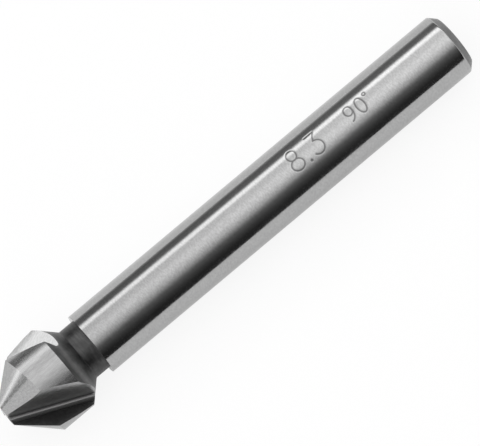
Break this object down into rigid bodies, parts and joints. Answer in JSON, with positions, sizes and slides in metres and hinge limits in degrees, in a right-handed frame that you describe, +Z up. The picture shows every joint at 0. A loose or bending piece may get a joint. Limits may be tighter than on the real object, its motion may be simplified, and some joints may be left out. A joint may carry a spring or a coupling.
{
  "type": "countersink bit",
  "caption": "Cone-headed countersink cutter with skewed flutes, relieved teeth, a short neck and a plain round shank, lying flute-down.",
  "frame": {"origin": "on the surface the tool lies on, under the middle of its bounding box", "axes": "+X along the tool from the tip to the shank end, level; +Z up; the tool's own axis slopes 1.22 degrees down from the head towards the shank end, because the head is the thicker"},
  "size_m": [0.05, 0.0082, 0.0081],
  "materials": {
    "tool_steel": "ground tool steel, blackened in the neck"
  },
  "bodies": {
    "root": {"countersink": "tool_steel"}
  },
  "joints": []
}
